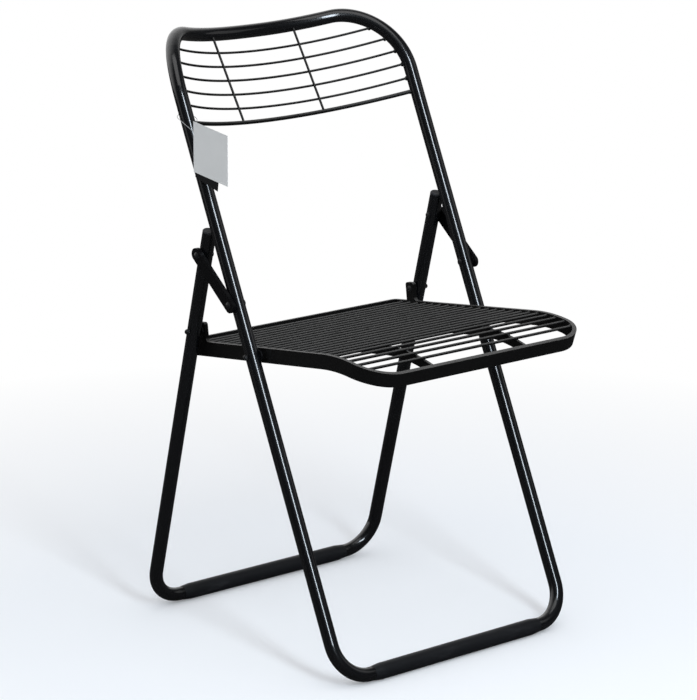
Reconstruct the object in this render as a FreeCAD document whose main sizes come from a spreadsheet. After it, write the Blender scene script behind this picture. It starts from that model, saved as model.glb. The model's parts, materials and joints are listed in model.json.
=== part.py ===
import FreeCAD, Part
import os
from math import acos, asin, atan2, cos, degrees, hypot, pi, radians, sin, sqrt, tan

from FreeCAD import Placement, Rotation, Vector

# A steel folding chair. One closed loop of round tube makes the front legs and the back; a U of the
# same tube makes the rear legs. The wire seat turns on the front loop and carries the rear legs on two
# ears, and a short link outside each side ties the rear leg to the front loop. Millimetres, +Z up, the
# chair faces -Y, and the origin is on the floor at the middle of the open chair.

doc = FreeCAD.newDocument("folding_chair")
sheet = doc.addObject("Spreadsheet::Sheet", "Sizes")

SIZES = [
    ("tube_diameter", 20.0),  # round steel tube of both frames
    ("tube_wall", 1.5),
    ("frame_half_width", 212.0),  # tube centre to the middle plane, the same for both frames
    ("front_foot_y", -220.3),  # where the front tube's centre line meets the floor
    ("rear_foot_y", 228.8),
    ("front_lean", 24.7),  # degrees from upright, top to the back
    ("rear_lean", 14.38),  # degrees from upright, top to the front
    ("floor_bend_radius", 52.0),  # centre line of the tube bends at the floor
    ("sleeve_diameter", 23.6),
    ("sleeve_length", 312.0),
    ("sleeve_taper", 14.0),  # each end of a sleeve narrows to a thin lip over this length
    ("sleeve_lip", 0.3),
    ("back_length", 962.0),  # floor to the top rail, along the leaning front frame
    ("corner_across", 77.0),  # half width of the rounded top corner
    ("corner_down", 107.0),  # height of the rounded top corner
    ("rail_bow", 86.5),  # how far the top rail is bent back in the middle
    ("bow_power", 2.4),  # flatness of the top rail's bow
    ("rod_along", 821.6),  # floor to the lower back rod, along the frame
    ("rod_diameter", 6.0),
    ("rod_bow", 66.0),
    ("wire_diameter", 3.5),
    ("back_wire_count", 5),
    ("back_wire_base", 820.2),  # one pitch below the lowest wire, along the frame
    ("back_wire_pitch", 22.0),
    ("back_wire_rise", 3.3),  # the wires' ends are welded higher than their middles
    ("back_wire_tilt", 2.9),  # and the left end higher than that, the right end lower
    ("weld_depth", 0.3),  # how far a wire's end sits into what it is welded to
    ("upright_offset", 74.5),  # each upright back wire to the middle plane
    ("seat_pivot_height", 436.0),  # seat rivet through the front tube
    ("ear_pivot_height", 447.0),  # ear rivet through the rear leg
    ("link_rear_height", 563.5),  # link rivet on the rear leg
    ("link_front_height", 505.2),  # link rivet on the front tube
    ("stop_gap", 0.4),  # rear leg cap to the back of the front tube
    ("seat_side_gap", 12.9),  # tube centre to the outer face of the rim's side
    ("seat_rise", 7.49),  # degrees, the flat of the seat rises to the front
    ("seat_flat", 136.5),  # seat rivet to the start of the bent front
    ("seat_front", 249.6),  # seat rivet to the rim's front face, along the seat
    ("seat_rear", 175.0),  # seat rivet to the rim's rear face
    ("seat_bend_radius", 247.6),  # the front of the seat curves down over this radius
    ("seat_front_corner", 51.0),
    ("seat_rear_corner", 7.5),
    ("corner_ease", 0.01),  # the corner's round starts this far outside the flat faces
    ("rim_height", 21.0),
    ("rim_thickness", 6.0),
    ("seat_wire_diameter", 4.2),
    ("seat_wire_drop", 1.8),  # the rim's top edge to the top of the wires
    ("seat_wire_count", 22),
    ("seat_wire_pitch", 17.6),
    ("front_wire_gap", 31.6),  # rim's front face to the first wire
    ("stay_offset", 86.0),  # each stay under the wires to the middle plane
    ("stay_height", 13.0),
    ("stay_thickness", 4.0),
    ("ear_width", 17.0),
    ("ear_top", 10.0),  # ear rivet to the top of the ear
    ("ear_corner", 4.0),
    ("ear_foot_radius", 6.0),
    ("washer_diameter", 15.0),
    ("collar_diameter", 12.0),  # the ear rivet's collar between the rim and the rear leg
    ("washer_gap", 0.3),  # a moving washer or collar to its neighbour
    ("link_width", 18.0),
    ("link_overhang", 2.5),  # the middle of each round end lies this far beyond its rivet
    ("link_thickness", 6.0),
    ("link_washer_thickness", 1.1),
    ("link_clearance", 0.2),
    ("rivet_diameter", 6.0),
    ("rivet_head_diameter", 10.0),
    ("rivet_head_height", 2.6),
    ("rivet_tail_height", 0.9),
    ("pivot_head_diameter", 8.0),  # the taller heads on the seat's and the ears' rivets
    ("pivot_head_dome", 3.6),
    ("pivot_head_shoulder", 2.4),
    ("drill_overrun", 5.0),  # how far a drill goes past what it drills
    ("rivet_clearance", 0.06),  # radial, where a piece turns on a rivet
    ("cap_height", 2.5),
    ("cap_bevel", 1.0),
    ("plug_depth", 14.0),
    ("tag_along", 823.3),  # floor to the level of the tag, along the frame
    ("tag_out", 19.7),  # tube centre to the front card's upper corner: outwards, forwards and up
    ("tag_fore", 39.0),
    ("tag_above", 6.5),
    ("tag_tilt", 5.4),  # degrees, the card's foot leans in to the tube
    ("tag_roll", 7.2),  # degrees, the card's far end hangs lower
    ("tag_width", 76.7),
    ("tag_height", 74.2),
    ("tag_thickness", 0.6),
    ("card_gap", 0.4),
    ("under_card_width", 51.0),
    ("under_card_height", 70.0),
    ("under_card_across", 2.0),  # its lower corner, across and down from the front card's upper corner
    ("under_card_down", 81.3),
    ("under_card_turn", 8.0),
    ("tie_diameter", 0.8),
    ("tie_slack", 0.1),
    ("tie_above", 3.4),  # the thread's ring above the level of the tag, along the frame
    ("tie_inset", 4.0),  # the thread's end on the card, across and down from its upper corner
    ("tie_down", 16.5),
]
for row, (alias, value) in enumerate(SIZES, start=1):
    sheet.set(f"A{row}", alias)
    sheet.set(f"B{row}", str(value))
    sheet.setAlias(f"B{row}", alias)
doc.recompute()


def size(alias):
    return float(sheet.get(alias))


# ---------------------------------------------------------------- shared places

tube_radius = size("tube_diameter") / 2
half_width = size("frame_half_width")
sleeve_radius = size("sleeve_diameter") / 2
wire_radius = size("wire_diameter") / 2
rivet_radius = size("rivet_diameter") / 2
hole_radius = rivet_radius + size("rivet_clearance")
X_AXIS = Vector(1, 0, 0)
SIDES = (("left", -1), ("right", 1))


class Plane:
    """A frame's leaning plane: x across, `along` up the slope from the floor, `behind` square to it."""

    def __init__(self, foot_y, lean):
        self.foot = Vector(0, foot_y, 0)
        self.up = Vector(0, sin(lean), cos(lean))
        self.back = Vector(0, cos(lean), -sin(lean))
        self.lean = lean

    def point(self, x, along, behind=0.0):
        return self.foot + Vector(x, 0, 0) + self.up * along + self.back * behind

    def at_height(self, height):
        return self.point(0, height / cos(self.lean))


front = Plane(size("front_foot_y"), radians(size("front_lean")))
rear = Plane(size("rear_foot_y"), -radians(size("rear_lean")))

seat_pivot = front.at_height(size("seat_pivot_height"))
link_front_pivot = front.at_height(size("link_front_height"))
ear_pivot = rear.at_height(size("ear_pivot_height"))
link_rear_pivot = rear.at_height(size("link_rear_height"))

parts = []


def keep(item, label):
    """Names a finished sub-part, which is written to its own file."""
    item.Label = label
    parts.append(item)
    return item


def feature(shape, label):
    item = doc.addObject("Part::Feature", label)
    item.Shape = shape
    return keep(item, label)


def swept(path, diameter):
    """A round bar along a wire; the section stands square to the wire's start."""
    start = path.Edges[0]
    direction = start.tangentAt(start.FirstParameter)
    circle = Part.Circle(start.valueAt(start.FirstParameter), direction, diameter / 2)
    return path.makePipeShell([Part.Wire(circle.toShape())], True, False)


def cross_bar(centre, reach, radius):
    """A cylinder along X, centred on a point."""
    return Part.makeCylinder(radius, 2 * reach, centre - X_AXIS * reach, X_AXIS)


def largest(shape):
    return max(shape.Solids, key=lambda solid: solid.Volume)


# ---------------------------------------------------------------- tubes of the two frames


def foot_edges(plane):
    """Half of the floor bar, its bend, and the start of the side, on the -X side."""
    radius = size("floor_bend_radius")
    low = sleeve_radius / cos(plane.lean)
    middle = plane.point(0, low)
    bend_start = plane.point(-half_width + radius, low)
    slant = radius * (1 - sqrt(0.5))
    bend_middle = plane.point(-half_width + slant, low + slant)
    bend_end = plane.point(-half_width, low + radius)
    bend = Part.Arc(bend_start, bend_middle, bend_end).toShape()
    return [Part.LineSegment(middle, bend_start).toShape(), bend], bend_end


def rail_point(start_along, stage):
    """A point of the rounded top corner (stage 0 to 1) or of half the top rail (stage 1 to 2)."""
    across = size("corner_across")
    turn = pi / 2 * min(stage, 1)
    x = (-half_width + across) * (2 - stage) if stage > 1 else -half_width + across * (1 - cos(turn))
    behind = size("rail_bow") * (1 - (abs(x) / half_width) ** size("bow_power"))
    return front.point(x, start_along + size("corner_down") * sin(turn), behind)


def arc_from(start, tangent, end):
    """The arc that leaves `start` along `tangent` and ends at `end`."""
    chord = end - start
    square = (tangent - chord * (tangent.dot(chord) / chord.dot(chord))).normalize()
    half_turn = tangent.getAngle(chord) / 2
    middle = (start + end) / 2 + square * (chord.Length / 2 * tan(half_turn))
    return Part.Arc(start, middle, end).toShape()


def biarc(start, start_tangent, end, end_tangent):
    """Two arcs that meet smoothly and keep both end tangents."""
    chord = end - start
    along = chord.dot(start_tangent + end_tangent)
    spread = 2 * (1 - start_tangent.dot(end_tangent))
    reach = (sqrt(along**2 + spread * chord.dot(chord)) - along) / spread
    joint = (start + end + (start_tangent - end_tangent) * reach) / 2
    joint_tangent = (end - joint - end_tangent * reach) + (joint - start - start_tangent * reach)
    return [arc_from(start, start_tangent, joint), arc_from(joint, joint_tangent.normalize(), end)]


def corner_arcs(start_along):
    """The rounded top corner and half of the top rail as smoothly joined arcs."""
    steps = 5
    stages = [number / steps for number in range(2 * steps + 1)]
    points = [rail_point(start_along, stage) for stage in stages]
    nudge = 0.001
    tangents = [
        (rail_point(start_along, stage + nudge) - rail_point(start_along, stage - nudge)).normalize()
        for stage in stages
    ]
    tangents[0] = front.up
    tangents[-1] = X_AXIS
    edges = []
    for number in range(2 * steps):
        edges += biarc(points[number], tangents[number], points[number + 1], tangents[number + 1])
    return edges


def both_sides(half):
    return half.fuse(half.mirror(Vector(0, 0, 0), X_AXIS)).removeSplitter()


def rivet_holes(pivots, radius):
    """Holes across both side tubes."""
    reach = tube_radius + size("drill_overrun")
    bores = []
    for pivot in pivots:
        for _, sign in SIDES:
            bores.append(cross_bar(pivot + X_AXIS * sign * half_width, reach, radius))
    return bores


inner_diameter = size("tube_diameter") - 2 * size("tube_wall")

front_feet, front_side_low = foot_edges(front)
corner_start = size("back_length") - size("corner_down")
front_side = Part.LineSegment(front_side_low, front.point(-half_width, corner_start)).toShape()
front_path = Part.Wire(front_feet + [front_side] + corner_arcs(corner_start))
front_half = swept(front_path, size("tube_diameter")).cut(swept(front_path, inner_diameter))
front_bores = rivet_holes([seat_pivot, link_front_pivot], rivet_radius)
feature(both_sides(front_half).cut(front_bores), "front_frame_tube")

# The rear leg ends where its cap just clears the back of the front tube.
opening = front.lean - rear.lean
leg_gap = (rear.foot - front.foot).dot(front.back)
corner_reach = tube_radius * cos(opening)
rear_leg_end = (leg_gap - tube_radius - corner_reach - size("stop_gap")) / sin(opening)
tube_end = rear_leg_end - size("cap_height")

rear_feet, rear_side_low = foot_edges(rear)
rear_side = Part.LineSegment(rear_side_low, rear.point(-half_width, tube_end)).toShape()
rear_path = Part.Wire(rear_feet + [rear_side])
rear_half = swept(rear_path, size("tube_diameter")).cut(swept(rear_path, inner_diameter))
rear_bores = rivet_holes([ear_pivot, link_rear_pivot], rivet_radius)
feature(both_sides(rear_half).cut(rear_bores), "rear_frame_tube")


# ---------------------------------------------------------------- pieces on the tubes


def bound(kind, name, **expressions):
    """A Part primitive whose sizes follow the sheet."""
    item = doc.addObject(kind, name)
    for prop, expression in expressions.items():
        item.setExpression(prop, expression)
    return item


def less(label, body, hole):
    """A finished piece: a body less its hole."""
    cut = doc.addObject("Part::Cut", label)
    cut.Base = body
    cut.Tool = hole
    return keep(cut, label)


def turned_body(outline, label):
    """A body of revolution about its own X axis; the outline is (x, radius) corners."""
    body = doc.addObject("PartDesign::Body", label + "_body")
    plane = next(item for item in body.Origin.OriginFeatures if item.Role == "XY_Plane")
    sketch = body.newObject("Sketcher::SketchObject", label + "_outline")
    sketch.AttachmentSupport = (plane, [""])
    sketch.MapMode = "FlatFace"
    corners = [Vector(x, r, 0) for x, r in outline]
    for start, end in zip(corners, corners[1:] + corners[:1]):
        sketch.addGeometry(Part.LineSegment(start, end), False)
    revolution = body.newObject("PartDesign::Revolution", label + "_turned")
    revolution.Profile = sketch
    revolution.ReferenceAxis = (sketch, ["H_Axis"])
    revolution.Angle = 360
    return keep(body, label)


def floor_sleeve(plane, label):
    """A plastic sleeve pushed over the middle of the floor bar."""
    half = size("sleeve_length") / 2
    full = half - size("sleeve_taper")
    lip = tube_radius + size("sleeve_lip")
    outline = [(-half, tube_radius), (-half, lip), (-full, sleeve_radius)]
    outline += [(full, sleeve_radius), (half, lip), (half, tube_radius)]
    body = turned_body(outline, label)
    body.Placement = Placement(plane.point(0, sleeve_radius / cos(plane.lean)), Rotation())


floor_sleeve(front, "front_floor_sleeve")
floor_sleeve(rear, "rear_floor_sleeve")


def domed(base, height, radius, outwards):
    """Corners of a low domed rivet head that stands on `base`."""
    steps = 5
    sphere = (radius**2 + height**2) / (2 * height)
    widest = asin(radius / sphere)
    corners = []
    for step in range(steps + 1):
        turn = widest * (1 - step / steps)
        corners.append((base + outwards * (sphere * cos(turn) - sphere + height), sphere * sin(turn)))
    corners[-1] = (base + outwards * height, 0.0)
    return corners


def place_outward(item, pivot, sign):
    """Puts a body whose X points away from the chair's middle on one side's tube centre."""
    turn = Rotation(Vector(0, 0, 1), 0 if sign > 0 else 180)
    item.Placement = Placement(pivot + X_AXIS * sign * half_width, turn)


head_radius = size("rivet_head_diameter") / 2
head_height = size("rivet_head_height")
tail_height = size("rivet_tail_height")


pivot_head_radius = size("pivot_head_diameter") / 2
pivot_head_shoulder = size("pivot_head_shoulder")
pivot_head = domed(tube_radius + pivot_head_shoulder, size("pivot_head_dome"), pivot_head_radius, 1)[::-1]
pivot_head.append((tube_radius, pivot_head_radius))


def rivet(label, pivot, sign, head, tail_base, collar=None):
    """A rivet along X: the outline of its head outside, shank, and a low domed tail inside."""
    outline = list(head)
    outline.append((outline[-1][0], rivet_radius))
    if collar:
        collar_outer, collar_inner = collar
        collar_radius = size("collar_diameter") / 2
        outline.append((collar_outer, rivet_radius))
        outline.append((collar_outer, collar_radius))
        outline.append((collar_inner, collar_radius))
        outline.append((collar_inner, rivet_radius))
    outline.append((tail_base, rivet_radius))
    outline += domed(tail_base, tail_height, head_radius, -1)
    place_outward(turned_body(outline, label), pivot, sign)


rim_outer = -size("seat_side_gap")
rim_inner = rim_outer - size("rim_thickness")
link_inner = tube_radius + size("link_washer_thickness") + size("link_clearance")
link_outer = link_inner + size("link_thickness")


def washer(label, pivot, sign, base, thickness, bore):
    """A flat ring round a rivet, `base` out from the tube centre; `thickness` is an expression."""
    ring = bound("Part::Cylinder", label + "_ring", Radius="Sizes.washer_diameter / 2", Height=thickness)
    hole = bound("Part::Cylinder", label + "_hole", Height=thickness)
    hole.Radius = bore
    start = pivot + X_AXIS * sign * (half_width + base)
    for cylinder in (ring, hole):
        cylinder.Placement = Placement(start, Rotation(Vector(0, 0, 1), X_AXIS * sign))
    less(label, ring, hole)


for side, sign in SIDES:
    seat_tail = rim_inner - size("link_clearance")
    link_head = domed(link_outer + size("link_clearance"), head_height, head_radius, 1)[::-1]
    collar = (-tube_radius, rim_outer + size("washer_gap"))
    rivet(f"seat_pivot_rivet_{side}", seat_pivot, sign, pivot_head, seat_tail)
    rivet(f"ear_rivet_{side}", ear_pivot, sign, pivot_head, seat_tail, collar)
    rivet(f"link_front_rivet_{side}", link_front_pivot, sign, link_head, -tube_radius)
    # The rear pivot of each link is two pieces that don't touch: one on the link, one in the leg.
    outline = domed(link_outer, head_height, head_radius, 1)[::-1]
    shank_end = tube_radius + size("washer_gap")
    outline += [(link_outer, rivet_radius), (shank_end, rivet_radius), (shank_end, 0.0)]
    place_outward(turned_body(outline, f"link_rear_rivet_{side}"), link_rear_pivot, sign)
    flush_end = tube_radius - size("washer_gap")
    outline = [(flush_end, 0.0), (flush_end, rivet_radius)]
    outline += [(-tube_radius, rivet_radius)] + domed(-tube_radius, tail_height, head_radius, -1)
    place_outward(turned_body(outline, f"leg_rivet_{side}"), link_rear_pivot, sign)
    gap_to_tube = "Sizes.seat_side_gap - Sizes.tube_diameter / 2 - Sizes.washer_gap"
    washer(f"seat_pivot_washer_{side}", seat_pivot, sign, rim_outer, gap_to_tube, hole_radius)
    link_washer = "Sizes.link_washer_thickness"
    washer(f"link_washer_{side}", link_front_pivot, sign, tube_radius, link_washer, rivet_radius)
    # Plastic cap of the rear leg: a disc over the tube's end and a plug in its bore.
    bore = inner_diameter / 2
    cap_height = size("cap_height")
    cap_outline = [(-size("plug_depth"), 0), (-size("plug_depth"), bore), (0, bore), (0, tube_radius)]
    bevel = size("cap_bevel")
    cap_outline += [(cap_height - bevel, tube_radius), (cap_height, tube_radius - bevel)]
    cap_outline.append((cap_height, 0))
    cap = turned_body(cap_outline, f"rear_leg_cap_{side}")
    cap.Placement = Placement(rear.point(sign * half_width, tube_end), Rotation(X_AXIS, rear.up))


# ---------------------------------------------------------------- links


def link(label, sign):
    """A flat bar with round ends between the two link rivets."""
    span = link_rear_pivot - link_front_pivot
    length = span.Length
    angle = degrees(atan2(span.z, span.y))
    centre_x = sign * (half_width + (link_inner if sign > 0 else link_outer))
    place = Placement(Vector(centre_x, link_front_pivot.y, link_front_pivot.z), Rotation(X_AXIS, angle))
    overhang = size("link_overhang")
    bar = bound("Part::Box", label + "_bar", Length="Sizes.link_thickness", Height="Sizes.link_width")
    bar.Width = length + 2 * overhang
    bar.Placement = place * Placement(Vector(0, -overhang, -size("link_width") / 2), Rotation())
    ends = []
    holes = []
    across_link = Rotation(Vector(0, 0, 1), X_AXIS)
    stations = (("front", 0, -overhang, hole_radius), ("rear", length, overhang, rivet_radius))
    for name, offset, beyond, radius in stations:
        end = bound("Part::Cylinder", f"{label}_{name}_end", Height="Sizes.link_thickness")
        hole = bound("Part::Cylinder", f"{label}_{name}_hole", Height="Sizes.link_thickness")
        end.setExpression("Radius", "Sizes.link_width / 2")
        hole.Radius = radius
        end.Placement = place * Placement(Vector(0, offset + beyond, 0), across_link)
        hole.Placement = place * Placement(Vector(0, offset, 0), across_link)
        ends.append(end)
        holes.append(hole)
    solid = doc.addObject("Part::MultiFuse", label + "_solid")
    solid.Shapes = [bar] + ends
    solid.Refine = True
    drill = doc.addObject("Part::MultiFuse", label + "_holes")
    drill.Shapes = holes
    less(label, solid, drill)


for side, sign in SIDES:
    link(f"link_{side}", sign)


# ---------------------------------------------------------------- back wires

back_top = size("back_length")
back_low = size("rod_along")
front_loop = Part.Compound([front_path, front_path.mirror(Vector(0, 0, 0), X_AXIS)])


def bow_at(along):
    """The bow grows evenly from the lower rod to the top rail."""
    share = (along - back_low) / (back_top - back_low)
    return size("rod_bow") + (size("rail_bow") - size("rod_bow")) * share


def meeting(curve, direction, neighbour, distance):
    """Goes along a curve from its middle until it comes within `distance` of a neighbour."""
    place = (curve.FirstParameter + curve.LastParameter) / 2
    step = distance
    while abs(step) > 0.001:
        step = Part.Vertex(curve.value(place)).distToShape(neighbour)[0] - distance
        place = curve.parameterAtDistance(direction * step, place)
    return place


def trimmed(curve, start_neighbour, start_distance, end_neighbour, end_distance):
    """The stretch of a curve between two neighbours, whose ends sit a little into them as welds do."""
    start = meeting(curve, -1, start_neighbour, start_distance - size("weld_depth"))
    end = meeting(curve, 1, end_neighbour, end_distance - size("weld_depth"))
    return curve.toShape(start, end)


def back_bar(along, left_along, right_along, diameter, label):
    """A bar bent to an arc between the two sides of the front loop."""
    left = front.point(-half_width, left_along)
    right = front.point(half_width, right_along)
    arc = Part.Arc(left, front.point(0, along, bow_at(along)), right)
    path = trimmed(arc, front_loop, tube_radius, front_loop, tube_radius)
    feature(swept(Part.Wire(path), diameter), label)
    return path


lower_rod = back_bar(back_low, back_low, back_low, size("rod_diameter"), "back_lower_rod")
for number in range(1, int(size("back_wire_count")) + 1):
    along = size("back_wire_base") + number * size("back_wire_pitch")
    ends = along + size("back_wire_rise")
    tilt = size("back_wire_tilt")
    back_bar(along, ends + tilt, ends - tilt, size("wire_diameter"), f"back_wire_{number}")


def arc_depth(x, bow):
    """How far behind the frame's plane the arc of a back bar is, x from the middle."""
    radius = (half_width**2 + bow**2) / (2 * bow)
    return bow - radius + sqrt(radius**2 - x**2)


# The uprights lie on the front of the wires, from the front of the lower rod to the top rail.
rod_radius = size("rod_diameter") / 2
rod_contact = hypot(size("wire_diameter"), sqrt(rod_radius**2 - wire_radius**2))
for side, sign in SIDES:
    x = sign * size("upright_offset")
    low = front.point(x, back_low, arc_depth(x, bow_at(back_low)) - size("wire_diameter"))
    high = front.point(x, back_top, arc_depth(x, bow_at(back_top)) - size("wire_diameter"))
    path = trimmed(Part.LineSegment(low, high), lower_rod, rod_contact, front_loop, tube_radius)
    feature(swept(Part.Wire(path), size("wire_diameter")), f"back_upright_{side}")


# ---------------------------------------------------------------- seat

rise = radians(size("seat_rise"))
bend_radius = size("seat_bend_radius")


def seat_place(along, above):
    """A (y, z) place on the seat: `along` forward from the seat rivet, `above` the rim's mid height."""
    turned = max(0.0, along - size("seat_flat")) / bend_radius
    flat = min(along, size("seat_flat"))
    angle = rise - turned
    y = seat_pivot.y - flat * cos(rise) - bend_radius * (sin(rise) - sin(angle)) + above * sin(angle)
    z = seat_pivot.z + flat * sin(rise) + bend_radius * (cos(angle) - cos(rise)) + above * cos(angle)
    return y, z


def seat_point(x, along, above):
    y, z = seat_place(along, above)
    return Vector(x, y, z)


def seat_slab(half_x, back, forward, low, high):
    """A slab that follows the seat's side profile, from `back` to `forward` and between two heights."""
    flat = size("seat_flat")
    bend = (flat + forward) / 2
    at = [
        seat_point(-half_x, back, low),
        seat_point(-half_x, flat, low),
        seat_point(-half_x, bend, low),
        seat_point(-half_x, forward, low),
        seat_point(-half_x, forward, high),
        seat_point(-half_x, bend, high),
        seat_point(-half_x, flat, high),
        seat_point(-half_x, back, high),
    ]
    edges = [
        Part.LineSegment(at[0], at[1]),
        Part.Arc(at[1], at[2], at[3]),
        Part.LineSegment(at[3], at[4]),
        Part.Arc(at[4], at[5], at[6]),
        Part.LineSegment(at[6], at[7]),
        Part.LineSegment(at[7], at[0]),
    ]
    outline = Part.Wire([edge.toShape() for edge in edges])
    return Part.Face(outline).extrude(X_AXIS * 2 * half_x)


def corner_cutter(half_x, along, inwards, radius):
    """What rounding one end of a slab takes off its two corners; `inwards` is +1 at the back."""
    y, z = seat_place(along, 0.0)
    up_y, up_z = seat_place(along, 1.0)
    normal = Vector(0, up_y - y, up_z - z)
    tall = 4 * size("rim_height")
    forward = Vector(0, -normal.z, normal.y) * inwards
    cutters = []
    for sign in (-1, 1):
        centre = Vector(sign * (half_x - radius), y, z) + forward * radius - normal * tall / 2
        pillar = Part.makeCylinder(radius + size("corner_ease"), tall, centre, normal)
        reach = radius * 1.5
        corners = [centre, centre + X_AXIS * sign * reach]
        corners.append(corners[1] - forward * reach)
        corners.append(centre - forward * reach)
        block = Part.Face(Part.makePolygon(corners + corners[:1])).extrude(normal * tall)
        cutters.append(block.cut(pillar))
    return cutters


def rounded(slab, half_x, back, forward, back_radius, forward_radius):
    """Rounds the slab's four upright corners."""
    cutters = corner_cutter(half_x, back, 1, back_radius)
    cutters += corner_cutter(half_x, forward, -1, forward_radius)
    return slab.cut(cutters)


rim_thickness = size("rim_thickness")
half_rim = size("rim_height") / 2
seat_half = half_width - size("seat_side_gap")
seat_back = -size("seat_rear")
seat_fore = size("seat_front")
outer_slab = rounded(
    seat_slab(seat_half, seat_back, seat_fore, -half_rim, half_rim),
    seat_half,
    seat_back,
    seat_fore,
    size("seat_rear_corner"),
    size("seat_front_corner"),
)
inner_slab = rounded(
    seat_slab(
        seat_half - rim_thickness,
        seat_back + rim_thickness,
        seat_fore - rim_thickness,
        -2 * half_rim,
        2 * half_rim,
    ),
    seat_half - rim_thickness,
    seat_back + rim_thickness,
    seat_fore - rim_thickness,
    size("seat_rear_corner") - rim_thickness,
    size("seat_front_corner") - rim_thickness,
)
drill_reach = seat_half + size("drill_overrun")
seat_bore = cross_bar(seat_pivot, drill_reach, hole_radius)
feature(outer_slab.cut(inner_slab).cut(seat_bore), "seat_rim")

seat_wire_radius = size("seat_wire_diameter") / 2
wire_level = half_rim - size("seat_wire_drop") - seat_wire_radius
for number in range(int(size("seat_wire_count"))):
    along = size("seat_front") - size("front_wire_gap") - number * size("seat_wire_pitch")
    bar = cross_bar(seat_point(0, along, wire_level), seat_half, seat_wire_radius)
    feature(largest(bar.common(inner_slab)), f"seat_wire_{number + 1:02d}")

for side, sign in SIDES:
    stay_high = wire_level - seat_wire_radius
    stay_low = stay_high - size("stay_height")
    half_stay = size("stay_thickness") / 2
    back = seat_back + rim_thickness
    forward = seat_fore - rim_thickness
    stay = seat_slab(half_stay, back, forward, stay_low, stay_high)
    stay.translate(X_AXIS * sign * size("stay_offset"))
    feature(stay, f"seat_stay_{side}")

# The ears stand on the rim's side, in line with it, and carry the rear legs' rivets.
ear_span = ear_pivot - seat_pivot
ear_along = -(ear_span.y * cos(rise) - ear_span.z * sin(rise))
ear_above = ear_span.y * sin(rise) + ear_span.z * cos(rise)
ear_radius = size("ear_width") / 2
foot_radius = size("ear_foot_radius")


def ear_outline(x):
    foot = half_rim
    top = ear_above + size("ear_top")
    corner = size("ear_corner")
    slant = corner * (1 - sqrt(0.5))
    hollow = foot_radius * (1 - sqrt(0.5))
    back = ear_along - ear_radius
    fore = ear_along + ear_radius
    at = {
        "back_foot": seat_point(x, back, foot),
        "back_top": seat_point(x, back, top - corner),
        "back_round": seat_point(x, back + slant, top - slant),
        "top_back": seat_point(x, back + corner, top),
        "top_fore": seat_point(x, fore - corner, top),
        "fore_round": seat_point(x, fore - slant, top - slant),
        "fore_top": seat_point(x, fore, top - corner),
        "fore_low": seat_point(x, fore, foot + foot_radius),
        "hollow": seat_point(x, fore + hollow, foot + hollow),
        "fore_foot": seat_point(x, fore + foot_radius, foot),
    }
    edges = [
        Part.LineSegment(at["back_foot"], at["back_top"]),
        Part.Arc(at["back_top"], at["back_round"], at["top_back"]),
        Part.LineSegment(at["top_back"], at["top_fore"]),
        Part.Arc(at["top_fore"], at["fore_round"], at["fore_top"]),
        Part.LineSegment(at["fore_top"], at["fore_low"]),
        Part.Arc(at["fore_low"], at["hollow"], at["fore_foot"]),
        Part.LineSegment(at["fore_foot"], at["back_foot"]),
    ]
    return Part.Wire([edge.toShape() for edge in edges])


for side, sign in SIDES:
    start_x = sign * seat_half - (rim_thickness if sign > 0 else 0)
    plate = Part.Face(ear_outline(start_x)).extrude(X_AXIS * rim_thickness)
    feature(plate.cut(cross_bar(ear_pivot, drill_reach, hole_radius)), f"seat_ear_{side}")


# ---------------------------------------------------------------- hang tag

# Two cards hang outside the left tube from a thread that goes round it.
tie_place = front.point(-half_width, size("tag_along"))
card_corner = tie_place + Vector(-size("tag_out"), -size("tag_fore"), size("tag_above"))
card_turn = (
    Rotation(Vector(0, 0, 1), -90)
    * Rotation(X_AXIS, size("tag_tilt"))
    * Rotation(Vector(0, 1, 0), size("tag_roll"))
)


def on_card(across, behind, down):
    """A point given across, behind and below the front card's upper corner beside the tube."""
    return card_corner + card_turn.multVec(Vector(across, behind, -down))


def card(label, across_name, tall_name, corner, turn):
    board = bound("Part::Box", label, Length=across_name, Width="Sizes.tag_thickness", Height=tall_name)
    board.Placement = Placement(corner, turn)
    keep(board, label)


front_corner = on_card(0, 0, size("tag_height"))
card("tag_front_card", "Sizes.tag_width", "Sizes.tag_height", front_corner, card_turn)
under_behind = size("tag_thickness") + size("card_gap")
under_corner = on_card(size("under_card_across"), under_behind, size("under_card_down"))
under_turn = card_turn * Rotation(Vector(0, 1, 0), size("under_card_turn"))
card("tag_back_card", "Sizes.under_card_width", "Sizes.under_card_height", under_corner, under_turn)

# The thread is a ring round the tube, square to X, whose two ends run to the front card.
tie_radius = size("tie_diameter") / 2
tie_end = on_card(size("tie_inset"), size("tag_thickness"), size("tie_down"))
tie_centre = front.point(-half_width, size("tag_along") + size("tie_above"))
reach = Vector(0, tie_end.y - tie_centre.y, tie_end.z - tie_centre.z)
reach_direction = Vector(reach).normalize()
slant = sqrt(1 - reach_direction.dot(front.up) ** 2)
ring_radius = tube_radius / slant + tie_radius + size("tie_slack")


def on_tie(x, forward):
    return tie_centre + X_AXIS * x + reach_direction * forward


def ring_point(angle):
    return on_tie(ring_radius * cos(angle), ring_radius * sin(angle))


def tangent_angle(end_x, end_forward, turn):
    """Where a straight end of the thread leaves the ring."""
    return atan2(end_forward, end_x) + turn * acos(ring_radius / hypot(end_x, end_forward))


outer_end = (tie_end.x - tie_centre.x, reach.Length)
inner_end = (outer_end[0], reach.Length + 2 * size("tie_diameter"))
outer_angle = tangent_angle(*outer_end, 1)
inner_angle = tangent_angle(*inner_end, -1)
back_angle = (outer_angle + inner_angle + 2 * pi) / 2
thread = [
    Part.LineSegment(on_tie(*outer_end), ring_point(outer_angle)),
    Part.Arc(ring_point(outer_angle), ring_point(back_angle), ring_point(inner_angle)),
    Part.LineSegment(ring_point(inner_angle), on_tie(*inner_end)),
]
thread_path = Part.Wire([edge.toShape() for edge in thread])
feature(swept(thread_path, size("tie_diameter")), "tag_tie")

doc.recompute()

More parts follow.
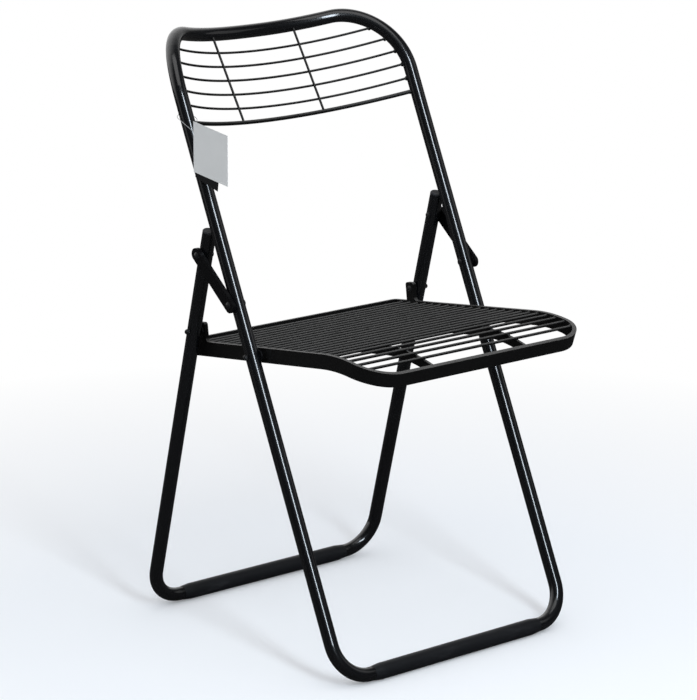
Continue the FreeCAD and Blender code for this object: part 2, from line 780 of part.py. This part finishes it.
failed = [item.Name for item in doc.Objects if {"Invalid", "Error"} & set(item.State)]
for item in parts:
    if item.Shape.isNull() or not item.Shape.isValid():
        failed.append(item.Label)
if failed:
    raise RuntimeError("not built: " + ", ".join(failed))

os.makedirs("parts", exist_ok=True)
for item in parts:
    item.Shape.exportStep(f"parts/{item.Label}.step")
    print(item.Label, round(item.Shape.Volume, 1), "cubic mm")
print(len(parts), "pieces")
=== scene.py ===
# %% [markdown]
# # Steel folding chair, visual model
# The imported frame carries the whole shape. This script gives every node its paint, plastic, steel, card or
# thread, adds the small weld beads, and sets the floor, the light and the camera. Metres, +Z up, the chair
# faces -Y.

# %%
import json
from math import cos, radians, sin

import bpy
from mathutils import Matrix, Vector


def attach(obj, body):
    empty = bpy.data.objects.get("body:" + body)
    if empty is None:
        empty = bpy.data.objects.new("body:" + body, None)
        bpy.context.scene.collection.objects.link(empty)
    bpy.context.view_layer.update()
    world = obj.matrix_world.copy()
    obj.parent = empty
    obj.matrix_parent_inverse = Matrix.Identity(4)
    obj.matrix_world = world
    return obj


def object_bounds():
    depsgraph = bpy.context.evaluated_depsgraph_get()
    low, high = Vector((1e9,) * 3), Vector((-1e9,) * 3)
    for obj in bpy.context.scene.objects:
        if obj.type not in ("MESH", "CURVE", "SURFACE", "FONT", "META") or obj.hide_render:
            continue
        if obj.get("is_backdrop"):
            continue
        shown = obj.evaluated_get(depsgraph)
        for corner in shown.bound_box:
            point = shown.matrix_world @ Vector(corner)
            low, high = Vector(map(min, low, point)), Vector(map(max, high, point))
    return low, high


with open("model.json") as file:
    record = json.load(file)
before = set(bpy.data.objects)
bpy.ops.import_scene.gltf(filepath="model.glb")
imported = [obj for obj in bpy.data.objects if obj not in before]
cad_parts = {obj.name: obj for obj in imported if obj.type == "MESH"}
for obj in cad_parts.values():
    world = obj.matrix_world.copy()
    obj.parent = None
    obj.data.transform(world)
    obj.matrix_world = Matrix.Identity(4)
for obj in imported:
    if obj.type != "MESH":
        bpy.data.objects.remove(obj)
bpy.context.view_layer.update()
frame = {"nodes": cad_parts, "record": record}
nodes = frame["nodes"]

# %% [markdown]
# ## Node helpers
# Each material is made of a few named steps, all in Object coordinates, which are metres of the chair. The
# world is made in the same way, and there they are directions.


# %%
WHITE = (1, 1, 1)


def compass(azimuth, elevation):
    """The direction towards a place seen under two angles in degrees, azimuth 0 at -Y and turning to +X."""
    turn = radians(azimuth)
    rise = radians(elevation)
    return Vector((sin(turn) * cos(rise), -cos(turn) * cos(rise), sin(rise)))


class Tree:
    """The node tree of a material or a world, with short calls for the steps used below."""

    def __init__(self, owner):
        owner.use_nodes = True
        self.owner = owner
        self.nodes = owner.node_tree.nodes
        self.links = owner.node_tree.links
        self.shader = self.nodes.get("Principled BSDF")
        self.place = self.nodes.new("ShaderNodeTexCoord").outputs["Object"]

    def add(self, kind, **settings):
        node = self.nodes.new(kind)
        for name, value in settings.items():
            setattr(node, name, value)
        return node

    def join(self, source, target):
        self.links.new(source, target)

    def stretched(self, scale):
        mapping = self.add("ShaderNodeMapping")
        mapping.inputs["Scale"].default_value = scale
        self.join(self.place, mapping.inputs["Vector"])
        return mapping.outputs["Vector"]

    def noise(self, scale, detail=4.0, roughness=0.55, place=None):
        node = self.add("ShaderNodeTexNoise")
        node.inputs["Scale"].default_value = scale
        node.inputs["Detail"].default_value = detail
        node.inputs["Roughness"].default_value = roughness
        self.join(place or self.place, node.inputs["Vector"])
        return node.outputs["Fac"]

    def mapped(self, value, low, high, to_low=0.0, to_high=1.0):
        node = self.add("ShaderNodeMapRange")
        node.inputs["From Min"].default_value = low
        node.inputs["From Max"].default_value = high
        node.inputs["To Min"].default_value = to_low
        node.inputs["To Max"].default_value = to_high
        self.join(value, node.inputs["Value"])
        return node.outputs["Result"]

    def math(self, operation, first, second):
        node = self.add("ShaderNodeMath", operation=operation)
        for socket, value in zip(node.inputs, (first, second)):
            if isinstance(value, (int, float)):
                socket.default_value = value
            else:
                self.join(value, socket)
        return node.outputs["Value"]

    def blended(self, share, first, second):
        """Mixes two colours, each a socket or an (r, g, b)."""
        node = self.add("ShaderNodeMix", data_type="RGBA")
        self.join(share, node.inputs["Factor"])
        for socket, value in ((node.inputs["A"], first), (node.inputs["B"], second)):
            if isinstance(value, tuple):
                socket.default_value = (*value, 1)
            else:
                self.join(value, socket)
        return node.outputs["Result"]

    def facing_up(self):
        normal = self.add("ShaderNodeNewGeometry").outputs["Normal"]
        parts = self.add("ShaderNodeSeparateXYZ")
        self.join(normal, parts.inputs["Vector"])
        return self.mapped(parts.outputs["Z"], 0.2, 1.0)

    def mixed(self, share, first, second):
        """Mixes the outputs of two shaders."""
        node = self.add("ShaderNodeMixShader")
        for socket, source in zip(node.inputs, (share, first, second)):
            self.join(source, socket)
        return node.outputs["Shader"]

    def background(self, colour, strength):
        node = self.add("ShaderNodeBackground")
        node.inputs["Color"].default_value = (*colour, 1)
        if isinstance(strength, (int, float)):
            node.inputs["Strength"].default_value = strength
        else:
            self.join(strength, node.inputs["Strength"])
        return node.outputs["Background"]

    def emission(self, strength):
        node = self.add("ShaderNodeEmission")
        node.inputs["Strength"].default_value = strength
        return node.outputs["Emission"]

    def colour(self, source):
        if isinstance(source, tuple):
            self.shader.inputs["Base Color"].default_value = (*source, 1)
        else:
            self.join(source, self.shader.inputs["Base Color"])

    def rough(self, source):
        self.join(source, self.shader.inputs["Roughness"])

    def bump(self, height, depth):
        node = self.add("ShaderNodeBump")
        node.inputs["Distance"].default_value = depth
        self.join(height, node.inputs["Height"])
        self.join(node.outputs["Normal"], self.shader.inputs["Normal"])


# %% [markdown]
# ## Materials
# Black paint on steel shows a faint orange peel, softer patches, a little dust on top and small nicks down to
# grey primer. The wires have a flatter paint whose tops are painted much lighter, a painted highlight. The sleeves
# are moulded plastic with scuffs along the floor bar. Colours are linear, and the depths of the bumps are in metres.


# %%
PRIMER = (0.1, 0.1, 0.105)
RIVET_BLACK = (0.006, 0.006, 0.0065)
RIVET_STEEL = (0.4, 0.39, 0.38)
PATCH_LIFT = 1.35  # softer patches of paint are this much lighter
DUST_AND_HIGHLIGHT_SPREAD = 0.28  # from bare paint to full dust and painted highlight, in their noise
DUST_AND_HIGHLIGHT_COVER = 0.8  # the share of the paint that full dust and painted highlight hide
DUST_AND_HIGHLIGHT_DULLS = 0.08  # what full dust and painted highlight add to the roughness
SCUFF_LIFT = 0.02
SCUFF_DEPTH = -0.6  # scuffs are cut into the plastic's grain
THREAD_TONES = (0.3, 0.3, 0.29), (0.5, 0.49, 0.47)


def toned(base, factor):
    return tuple(part * factor for part in base)


def black_paint(name, base, dust_and_highlight_tone, bare, roughness, peel, sheen, gloss):
    """`bare` is the share kept free of dust and painted highlight, `sheen` the paint's own soft gloss and `gloss` a
    hard coat on top.
    """
    tree = Tree(bpy.data.materials.new(name))
    patches = tree.noise(scale=9.0, detail=5.0)
    # Upward faces take a lighter tone: dust on the tubes and links, and a painted highlight on the wire tops.
    dust_and_highlight_patches = tree.mapped(tree.noise(scale=38.0, detail=6.0), bare, bare + DUST_AND_HIGHLIGHT_SPREAD)
    dust_and_highlight = tree.math("MULTIPLY", tree.facing_up(), dust_and_highlight_patches)
    painted = tree.blended(tree.mapped(patches, 0.35, 0.7), base, toned(base, PATCH_LIFT))
    dust_and_highlight_paint = tree.blended(tree.math("MULTIPLY", dust_and_highlight, DUST_AND_HIGHLIGHT_COVER), painted, dust_and_highlight_tone)
    nicks = tree.math(
        "MULTIPLY",
        tree.mapped(tree.noise(scale=150.0, detail=3.0, roughness=0.7), 0.76, 0.78),
        tree.mapped(tree.noise(scale=14.0, detail=2.0), 0.52, 0.6),
    )
    tree.colour(tree.blended(nicks, dust_and_highlight_paint, PRIMER))
    worn = tree.mapped(patches, 0.3, 0.75, roughness - 0.03, roughness + 0.05)
    tree.rough(tree.math("ADD", worn, tree.math("MULTIPLY", dust_and_highlight, DUST_AND_HIGHLIGHT_DULLS)))
    tree.bump(tree.noise(scale=420.0, detail=2.0, roughness=0.4), peel)
    tree.shader.inputs["Specular IOR Level"].default_value = sheen
    tree.shader.inputs["Coat Weight"].default_value = gloss
    tree.shader.inputs["Coat Roughness"].default_value = 0.13
    tree.shader.inputs["Coat IOR"].default_value = 1.7
    return tree.owner


def moulded_plastic(name, base, roughness, stretch):
    """`stretch` scales the three axes of the scuffs, so that a low one draws them out along it."""
    tree = Tree(bpy.data.materials.new(name))
    grain = tree.noise(scale=900.0, detail=2.0, roughness=0.5)
    streaks = tree.noise(scale=60.0, detail=6.0, roughness=0.7, place=tree.stretched(stretch))
    scuffs = tree.mapped(streaks, 0.56, 0.72)
    scuffed = tuple(part + SCUFF_LIFT for part in base)
    tree.colour(tree.blended(tree.math("MULTIPLY", scuffs, 0.5), base, scuffed))
    blotches = tree.noise(scale=22.0, detail=4.0)
    tree.rough(tree.mapped(blotches, 0.3, 0.7, roughness - 0.06, roughness + 0.08))
    tree.bump(tree.math("ADD", grain, tree.math("MULTIPLY", scuffs, SCUFF_DEPTH)), 0.00012)
    tree.shader.inputs["Specular IOR Level"].default_value = 0.4
    return tree.owner


def worn_rivet(name):
    """Black finish that is rubbed to bare steel in spots."""
    tree = Tree(bpy.data.materials.new(name))
    rubbed = tree.mapped(tree.noise(scale=260.0, detail=5.0, roughness=0.65), 0.64, 0.72)
    tree.colour(tree.blended(rubbed, RIVET_BLACK, RIVET_STEEL))
    tree.join(rubbed, tree.shader.inputs["Metallic"])
    tree.rough(tree.mapped(tree.noise(scale=90.0, detail=3.0), 0.3, 0.7, 0.28, 0.46))
    tree.bump(tree.noise(scale=500.0, detail=3.0), 0.0001)
    return tree.owner


def card(name, base, fibre):
    """`fibre` is how much darker the fibres of the card are than its face."""
    tree = Tree(bpy.data.materials.new(name))
    fibres = tree.noise(scale=700.0, detail=6.0, roughness=0.7)
    clouds = tree.mapped(tree.noise(scale=30.0, detail=3.0), 0.3, 0.7)
    face = tree.blended(clouds, base, toned(base, 0.93))
    tree.colour(tree.blended(tree.mapped(fibres, 0.3, 0.7), face, toned(base, 1 - fibre)))
    tree.rough(tree.mapped(fibres, 0.2, 0.8, 0.42, 0.6))
    tree.bump(fibres, 0.00005)
    return tree.owner


def twisted_thread(name):
    tree = Tree(bpy.data.materials.new(name))
    strands = tree.add("ShaderNodeTexWave", wave_type="BANDS", bands_direction="DIAGONAL")
    strands.inputs["Scale"].default_value = 900.0
    tree.join(tree.place, strands.inputs["Vector"])
    tree.colour(tree.blended(strands.outputs["Fac"], *THREAD_TONES))
    tree.rough(tree.mapped(tree.noise(scale=400.0), 0.3, 0.7, 0.6, 0.8))
    tree.bump(strands.outputs["Fac"], 0.0001)
    return tree.owner


FINISHES = {
    "frame_paint": black_paint(
        "tube paint",
        base=(0.0014, 0.0016, 0.0022),
        dust_and_highlight_tone=(0.008, 0.008, 0.009),
        bare=0.42,
        roughness=0.38,
        peel=0.00001,
        sheen=0.2,
        gloss=1.0,
    ),
    # On the wires the light tone covers nearly all the upward faces: a painted highlight along the wire tops.
    "wire_paint": black_paint(
        "wire paint",
        base=(0.0032, 0.003, 0.0028),
        dust_and_highlight_tone=(0.105, 0.099, 0.092),
        bare=0.12,
        roughness=0.4,
        peel=0.00003,
        sheen=0.2,
        gloss=0.0,
    ),
    "link_paint": black_paint(
        "link paint",
        base=(0.0016, 0.0016, 0.002),
        dust_and_highlight_tone=(0.012, 0.012, 0.012),
        bare=0.42,
        roughness=0.36,
        peel=0.00003,
        sheen=0.2,
        gloss=0.1,
    ),
    "sleeve_plastic": moulded_plastic(
        "sleeve plastic", base=(0.0055, 0.006, 0.0075), roughness=0.5, stretch=(0.25, 1.0, 1.0)
    ),
    "cap_plastic": moulded_plastic(
        "cap plastic", base=(0.02, 0.02, 0.022), roughness=0.52, stretch=(1.0, 1.0, 1.0)
    ),
    "rivet_steel": worn_rivet("worn rivet"),
    "card_pale": card("pale card", base=(0.7, 0.69, 0.66), fibre=0.05),
    "card_dark": card("dark card", base=(0.006, 0.006, 0.0065), fibre=0.25),
    "tie_thread": twisted_thread("tie thread"),
}
slots = {part["node"]: part["material_slot"] for part in frame["record"]["subparts"]}
for name, node in nodes.items():
    for slot in node.material_slots:
        slot.material = FINISHES[slots[name]]


# %% [markdown]
# ## Weld beads
# Every wire ends in a small bead of weld, and the seat wires have one over each stay. The places come from the
# wires' own meshes, and geometry nodes put a squashed, slightly lumpy bead on each.


# %%
END_DEPTH = 0.0012  # a wire's vertices this near to its tip are its end
LUMP_SHARE = 0.25  # how far a bead's lumps rise, as a share of its radius


def wire_ends(name):
    """The centres of a wire's two ends and the direction in which each end points."""
    mesh = nodes[name].data
    ends = []
    for sign in (-1, 1):
        far = max(sign * vertex.co.x for vertex in mesh.vertices)
        tip = [vertex.co for vertex in mesh.vertices if sign * vertex.co.x > far - END_DEPTH]
        ends.append((sum(tip, Vector()) / len(tip), Vector((sign, 0, 0))))
    return ends


def bead_nodes(radius, squash, lump, material):
    """Geometry nodes that turn points into weld beads."""
    group = bpy.data.node_groups.new("weld beads", "GeometryNodeTree")
    group.interface.new_socket("Geometry", in_out="INPUT", socket_type="NodeSocketGeometry")
    for name, value in (("Bead radius", radius), ("Squash", squash), ("Lump", lump)):
        socket = group.interface.new_socket(name, in_out="INPUT", socket_type="NodeSocketFloat")
        socket.default_value = value
    group.interface.new_socket("Geometry", in_out="OUTPUT", socket_type="NodeSocketGeometry")
    make = group.nodes.new
    join = group.links.new
    start = make("NodeGroupInput")
    ball = make("GeometryNodeMeshIcoSphere")
    ball.inputs["Subdivisions"].default_value = 3
    join(start.outputs["Bead radius"], ball.inputs["Radius"])
    shape = make("GeometryNodeTransform")
    flat = make("ShaderNodeCombineXYZ")
    join(start.outputs["Squash"], flat.inputs["X"])
    flat.inputs["Y"].default_value = 1.0
    flat.inputs["Z"].default_value = 1.0
    join(ball.outputs["Mesh"], shape.inputs["Geometry"])
    join(flat.outputs["Vector"], shape.inputs["Scale"])
    spread = make("GeometryNodeInstanceOnPoints")
    join(start.outputs["Geometry"], spread.inputs["Points"])
    join(shape.outputs["Geometry"], spread.inputs["Instance"])
    whole = make("GeometryNodeRealizeInstances")
    join(spread.outputs["Instances"], whole.inputs["Geometry"])
    waves = make("ShaderNodeTexNoise")
    waves.inputs["Scale"].default_value = 700.0
    place = make("GeometryNodeInputPosition")
    join(place.outputs["Position"], waves.inputs["Vector"])
    normal = make("GeometryNodeInputNormal")
    height = make("ShaderNodeMath")
    height.operation = "MULTIPLY_ADD"
    join(waves.outputs["Fac"], height.inputs[0])
    join(start.outputs["Lump"], height.inputs[1])
    height.inputs[2].default_value = -0.5 * lump
    push = make("ShaderNodeVectorMath")
    push.operation = "SCALE"
    join(normal.outputs["Normal"], push.inputs[0])
    join(height.outputs["Value"], push.inputs["Scale"])
    moved = make("GeometryNodeSetPosition")
    join(whole.outputs["Geometry"], moved.inputs["Geometry"])
    join(push.outputs["Vector"], moved.inputs["Offset"])
    smooth = make("GeometryNodeSetShadeSmooth")
    join(moved.outputs["Geometry"], smooth.inputs["Geometry"])
    painted = make("GeometryNodeSetMaterial")
    painted.inputs["Material"].default_value = material
    join(smooth.outputs["Geometry"], painted.inputs["Geometry"])
    end = make("NodeGroupOutput")
    join(painted.outputs["Geometry"], end.inputs["Geometry"])
    return group


def end_places(names, sunk):
    """A place for a bead at both ends of every wire, `sunk` back from the tip."""
    return [tip - direction * sunk for name in names for tip, direction in wire_ends(name)]


def stay_places(names, stays, drop):
    """A place for a bead wherever a wire crosses a stay, `drop` below the wire's middle."""
    middles = [sum(vertex.co.x for vertex in stay.vertices) / len(stay.vertices) for stay in stays]
    tips = [wire_ends(name)[0][0] for name in names]
    return [Vector((middle, tip.y, tip.z - drop)) for tip in tips for middle in middles]


def weld_beads(label, places, radius, squash, body):
    """One piece that holds a bead at every place."""
    mesh = bpy.data.meshes.new(label)
    mesh.from_pydata(places, [], [])
    points = bpy.data.objects.new(label + "_points", mesh)
    bpy.context.scene.collection.objects.link(points)
    modifier = points.modifiers.new("beads", "NODES")
    modifier.node_group = bead_nodes(radius, squash, LUMP_SHARE * radius, FINISHES["wire_paint"])
    grown = points.evaluated_get(bpy.context.evaluated_depsgraph_get())
    piece = bpy.data.objects.new(label, bpy.data.meshes.new_from_object(grown))
    bpy.context.scene.collection.objects.link(piece)
    bpy.data.objects.remove(points)
    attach(piece, body)


seat_wires = sorted(name for name in nodes if name.startswith("seat_wire_"))
stays = [nodes["seat_stay_left"].data, nodes["seat_stay_right"].data]
back_wires = ["back_lower_rod"] + [f"back_wire_{number}" for number in range(1, 6)]
weld_beads("seat_wire_welds", end_places(seat_wires, sunk=0.0004), radius=0.0029, squash=0.45, body="seat")
weld_beads("seat_stay_welds", stay_places(seat_wires, stays, drop=0.0022), radius=0.0029, squash=1.0, body="seat")
weld_beads("back_wire_welds", end_places(back_wires, sunk=0.0006), radius=0.0034, squash=0.6, body="front_frame")

# %% [markdown]
# ## Floor and light
# A pale floor takes a soft shadow and fades to plain white, so that the chair stands in an empty studio. What
# the paint reflects is set apart from what lights it: a pale wall behind the chair, a dim room in front of it
# and a dark floor below.


# %%
FLOOR_HALF = 12.0
FLOOR_GAP = 0.0002  # keeps the floor clear of the sleeves that stand on it
FLOOR_TONE = (0.82, 0.82, 0.82)
FLOOR_LIFT = 0.12  # the camera sees the floor beside the chair this much lighter
WHITE_FROM, WHITE_FULL = 0.5, 1.5  # the floor fades to white between these distances
FLOOR_MIRRORED = (0.05, 0.047, 0.045, 1)
ROOM_TONE = (0.8, 0.84, 0.9)
ROOM_STRENGTH = 0.8
WALL_FROM, WALL_FULL = 0.1, 0.7  # the reflected wall starts this far towards +Y
WALL_DIM, WALL_BRIGHT = 0.02, 0.8
LIGHTS_AIM = Vector((0, 0, 0.45))


def studio_floor():
    """White only for the camera, dark only where it is reflected, a plain pale floor for all other rays."""
    mesh = bpy.data.meshes.new("studio_floor")
    corners = [(x * FLOOR_HALF, y * FLOOR_HALF, 0) for x, y in ((-1, -1), (1, -1), (1, 1), (-1, 1))]
    mesh.from_pydata(corners, [], [(0, 1, 2, 3)])
    floor = bpy.data.objects.new("studio_floor", mesh)
    bpy.context.scene.collection.objects.link(floor)
    floor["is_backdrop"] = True
    floor.location.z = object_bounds()[0][2] - FLOOR_GAP
    tree = Tree(bpy.data.materials.new("studio floor"))
    tree.colour(FLOOR_TONE)
    tree.rough(tree.mapped(tree.noise(scale=3.0), 0.3, 0.7, 0.75, 0.9))
    tree.shader.inputs["Specular IOR Level"].default_value = 0.1
    pale = tree.shader.outputs["BSDF"]
    lifted = tree.add("ShaderNodeAddShader")
    tree.join(pale, lifted.inputs[0])
    tree.join(tree.emission(FLOOR_LIFT), lifted.inputs[1])
    distance = tree.add("ShaderNodeVectorMath", operation="LENGTH")
    tree.join(tree.place, distance.inputs[0])
    far = tree.mapped(distance.outputs["Value"], WHITE_FROM, WHITE_FULL)
    faded = tree.mixed(far, lifted.outputs["Shader"], tree.emission(1.0))
    dark = tree.add("ShaderNodeBsdfDiffuse")
    dark.inputs["Color"].default_value = FLOOR_MIRRORED
    path = tree.add("ShaderNodeLightPath").outputs
    seen = tree.mixed(path["Is Camera Ray"], pale, faded)
    tree.join(
        tree.mixed(path["Is Glossy Ray"], seen, dark.outputs["BSDF"]), tree.nodes["Material Output"].inputs["Surface"]
    )
    mesh.materials.append(tree.owner)


def studio_world():
    """White for the camera; what the paint reflects is a pale wall behind the chair and a dim room in front."""
    world = bpy.data.worlds.new("studio")
    bpy.context.scene.world = world
    tree = Tree(world)
    tree.nodes.remove(tree.nodes["Background"])
    room = tree.background(ROOM_TONE, ROOM_STRENGTH)
    axes = tree.add("ShaderNodeSeparateXYZ")
    tree.join(tree.place, axes.inputs["Vector"])
    wall = tree.background(WHITE, tree.mapped(axes.outputs["Y"], WALL_FROM, WALL_FULL, WALL_DIM, WALL_BRIGHT))
    path = tree.add("ShaderNodeLightPath").outputs
    lit = tree.mixed(path["Is Glossy Ray"], room, wall)
    seen = tree.mixed(path["Is Camera Ray"], lit, tree.background(WHITE, 1.0))
    tree.join(seen, tree.nodes["World Output"].inputs["Surface"])


def area_light(name, azimuth, elevation, distance, width, height, power, colour=WHITE):
    """A soft panel that looks at the chair's middle from a compass direction."""
    data = bpy.data.lights.new(name, "AREA")
    data.shape = "RECTANGLE"
    data.size = width
    data.size_y = height
    data.energy = power
    data.color = colour
    light = bpy.data.objects.new(name, data)
    bpy.context.scene.collection.objects.link(light)
    light.location = compass(azimuth, elevation) * distance + LIGHTS_AIM
    light.rotation_euler = (LIGHTS_AIM - light.location).to_track_quat("-Z", "Y").to_euler()


studio_floor()
studio_world()
area_light(
    "window_front", azimuth=-15, elevation=30, distance=3.0, width=0.5, height=1.8, power=46, colour=(0.8, 0.9, 1.0)
)
area_light("top_soft", azimuth=-30, elevation=75, distance=3.2, width=2.4, height=2.4, power=18)
area_light("fill_right", azimuth=60, elevation=25, distance=3.4, width=1.8, height=1.8, power=3)

# %% [markdown]
# ## Camera
# A long lens from the chair's front left, a little above the seat.

# %%
CAMERA_AZIMUTH = -39.845
CAMERA_ELEVATION = 14.5169
CAMERA_ROLL = radians(0.1443)
CAMERA_DISTANCE = 4.3913
CHAIR_MIDDLE = Vector((0, 0.07676, 0.49079))
SHIFT_RIGHT, SHIFT_DOWN = 0.03269, 0.09631  # from the chair's middle to the middle of the view

back = compass(CAMERA_AZIMUTH, CAMERA_ELEVATION)
level = Vector((cos(radians(CAMERA_AZIMUTH)), sin(radians(CAMERA_AZIMUTH)), 0))
upright = back.cross(level)
aim = CHAIR_MIDDLE + level * SHIFT_RIGHT - upright * SHIFT_DOWN
right = level * cos(CAMERA_ROLL) + upright * sin(CAMERA_ROLL)
above = upright * cos(CAMERA_ROLL) - level * sin(CAMERA_ROLL)
lens = bpy.data.cameras.new("camera")
lens.sensor_width = 36.0
lens.lens = 155.57
lens.clip_end = 60
camera = bpy.data.objects.new("camera", lens)
bpy.context.scene.collection.objects.link(camera)
rotation = Matrix((right, above, back)).transposed().to_4x4()
camera.matrix_world = Matrix.Translation(aim + back * CAMERA_DISTANCE) @ rotation
bpy.context.scene.camera = camera
bpy.context.scene.view_settings.view_transform = "Standard"
